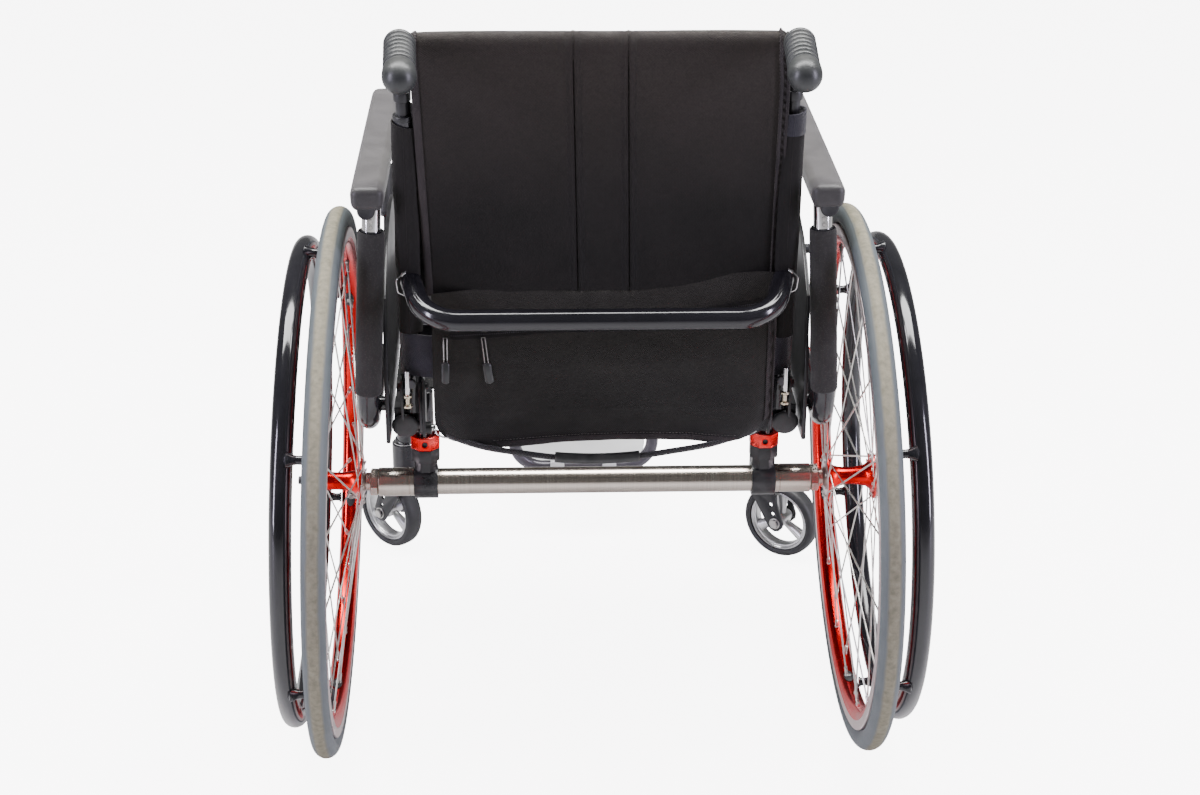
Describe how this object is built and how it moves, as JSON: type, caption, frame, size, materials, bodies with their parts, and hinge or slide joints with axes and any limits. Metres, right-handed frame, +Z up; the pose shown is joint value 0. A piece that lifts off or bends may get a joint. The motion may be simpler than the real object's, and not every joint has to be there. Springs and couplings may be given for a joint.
{
  "type": "rigid wheelchair",
  "caption": "Rigid-frame manual wheelchair with cambered spoked wheels, handrims, fold-down back with push grips, height-adjustable armrests, sling seat, casters and a footrest.",
  "frame": {"origin": "on the floor, under the centre of the bounding box", "axes": "+Z up, +X to the sitter's left, -Y forward, so the push grips point to +Y"},
  "size_m": [0.6676, 0.871, 0.8157],
  "materials": {
    "frame_black": "gloss",
    "satin_black": "satin",
    "plug_grey": "matte",
    "anodised_red": "anodised",
    "brushed_aluminium": "brushed",
    "chrome": "polished",
    "tyre_grey": "matte",
    "rubber_black": "matte",
    "foam_grey": "matte",
    "pad_grey": "matte",
    "back_cloth": "matte",
    "sling_cloth": "matte",
    "braided_cord": "matte",
    "plate_grey": "satin",
    "caster_silver": "gloss"
  },
  "bodies": {
    "frame": {"camber_tube": "brushed_aluminium", "seat_cross_tube": "frame_black", "footrest_tube": "plate_grey", "footplate": "plate_grey", "seat_sling": "sling_cloth", "release_cord": "braided_cord", "cord_sleeve": "rubber_black", "side_frame_left": "frame_black", "rail_plug_left": "plug_grey", "sideguard_left": "satin_black", "back_bracket_left": "satin_black", "axle_clamp_left": "satin_black", "stem_nut_left": "anodised_red", "axle_receiver_left": "brushed_aluminium", "armrest_tube_left": "frame_black", "armrest_foam_left": "foam_grey", "side_frame_right": "frame_black", "rail_plug_right": "plug_grey", "sideguard_right": "satin_black", "back_bracket_right": "satin_black", "axle_clamp_right": "satin_black", "stem_nut_right": "anodised_red", "axle_receiver_right": "brushed_aluminium", "armrest_tube_right": "frame_black", "armrest_foam_right": "foam_grey"},
    "back": {"back_upholstery": "back_cloth", "back_pocket": "back_cloth", "rigidizer_bar": "frame_black", "back_cane_left": "frame_black", "handle_post_left": "satin_black", "push_grip_left": "rubber_black", "back_cane_right": "frame_black", "handle_post_right": "satin_black", "push_grip_right": "rubber_black"},
    "axle_left": {"quick_axle_left": "chrome"},
    "wheel_left": {"tyre_left": "tyre_grey", "rim_left": "anodised_red", "hub_left": "anodised_red", "handrim_left": "frame_black"},
    "button_left": {"axle_button_left": "satin_black"},
    "caster_swivel_left": {"caster_fork_left": "satin_black"},
    "caster_left": {"caster_wheel_left": "caster_silver", "caster_tyre_left": "rubber_black"},
    "release_left": {"release_plunger_left": "chrome"},
    "armrest_left": {"armrest_post_left": "chrome", "arm_pad_left": "pad_grey"},
    "lock_left": {"brake_lever_left": "satin_black"},
    "axle_right": {"quick_axle_right": "chrome"},
    "wheel_right": {"tyre_right": "tyre_grey", "rim_right": "anodised_red", "hub_right": "anodised_red", "handrim_right": "frame_black"},
    "button_right": {"axle_button_right": "satin_black"},
    "caster_swivel_right": {"caster_fork_right": "satin_black"},
    "caster_right": {"caster_wheel_right": "caster_silver", "caster_tyre_right": "rubber_black"},
    "release_right": {"release_plunger_right": "chrome"},
    "armrest_right": {"armrest_post_right": "chrome", "arm_pad_right": "pad_grey"},
    "lock_right": {"brake_lever_right": "satin_black"}
  },
  "joints": [
    {"name": "axle_pull_left", "type": "slide", "parent": "frame", "child": "axle_left", "axis": [0.9994, 0, 0.0349], "range_m": [0, 0.1]},
    {"name": "wheel_spin_left", "type": "hinge", "parent": "axle_left", "child": "wheel_left", "pos_m": [0.28, 0.1395, 0.29583], "axis": [0.9994, 0, 0.0349], "continuous": true},
    {"name": "axle_button_left", "type": "slide", "parent": "axle_left", "child": "button_left", "axis": [-0.9994, 0, -0.0349], "range_m": [0, 0.004], "stiffness_N_per_m": 600, "springref_m": -0.002},
    {"name": "caster_swivel_left", "type": "hinge", "parent": "frame", "child": "caster_swivel_left", "pos_m": [0.229, -0.2655, 0.1], "axis": [0, 0, 1], "continuous": true},
    {"name": "caster_spin_left", "type": "hinge", "parent": "caster_swivel_left", "child": "caster_left", "pos_m": [0.25123, -0.28852, 0.05], "axis": [-0.7193, -0.6947, 0], "continuous": true},
    {"name": "release_pull_left", "type": "slide", "parent": "frame", "child": "release_left", "axis": [-1, 0, 0], "range_m": [0, 0.008], "stiffness_N_per_m": 400, "springref_m": -0.004},
    {"name": "arm_height_left", "type": "slide", "parent": "frame", "child": "armrest_left", "axis": [-0.0523, 0, 0.9986], "range_m": [0, 0.07]},
    {"name": "wheel_lock_left", "type": "hinge", "parent": "frame", "child": "lock_left", "pos_m": [0.23925, -0.1855, 0.41814], "axis": [-1, 0, 0], "range_deg": [0, 20]},
    {"name": "axle_pull_right", "type": "slide", "parent": "frame", "child": "axle_right", "axis": [-0.9994, 0, 0.0349], "range_m": [0, 0.1]},
    {"name": "wheel_spin_right", "type": "hinge", "parent": "axle_right", "child": "wheel_right", "pos_m": [-0.28, 0.1395, 0.29583], "axis": [-0.9994, 0, 0.0349], "continuous": true},
    {"name": "axle_button_right", "type": "slide", "parent": "axle_right", "child": "button_right", "axis": [0.9994, 0, -0.0349], "range_m": [0, 0.004], "stiffness_N_per_m": 600, "springref_m": -0.002},
    {"name": "caster_swivel_right", "type": "hinge", "parent": "frame", "child": "caster_swivel_right", "pos_m": [-0.229, -0.2655, 0.1], "axis": [0, 0, 1], "continuous": true},
    {"name": "caster_spin_right", "type": "hinge", "parent": "caster_swivel_right", "child": "caster_right", "pos_m": [-0.25521, -0.24715, 0.05], "axis": [0.5736, 0.8192, 0], "continuous": true},
    {"name": "release_pull_right", "type": "slide", "parent": "frame", "child": "release_right", "axis": [1, 0, 0], "range_m": [0, 0.008], "stiffness_N_per_m": 400, "springref_m": -0.004},
    {"name": "arm_height_right", "type": "slide", "parent": "frame", "child": "armrest_right", "axis": [0.0523, 0, 0.9986], "range_m": [0, 0.07]},
    {"name": "wheel_lock_right", "type": "hinge", "parent": "frame", "child": "lock_right", "pos_m": [-0.23925, -0.1855, 0.41814], "axis": [-1, 0, 0], "range_deg": [0, 20]},
    {"name": "back_fold", "type": "hinge", "parent": "frame", "child": "back", "pos_m": [0, 0.1695, 0.42], "axis": [1, 0, 0], "range_deg": [0, 85]}
  ],
  "couplings": [
    {"joint": "release_pull_right", "follows": "release_pull_left", "ratio": 1}
  ]
}
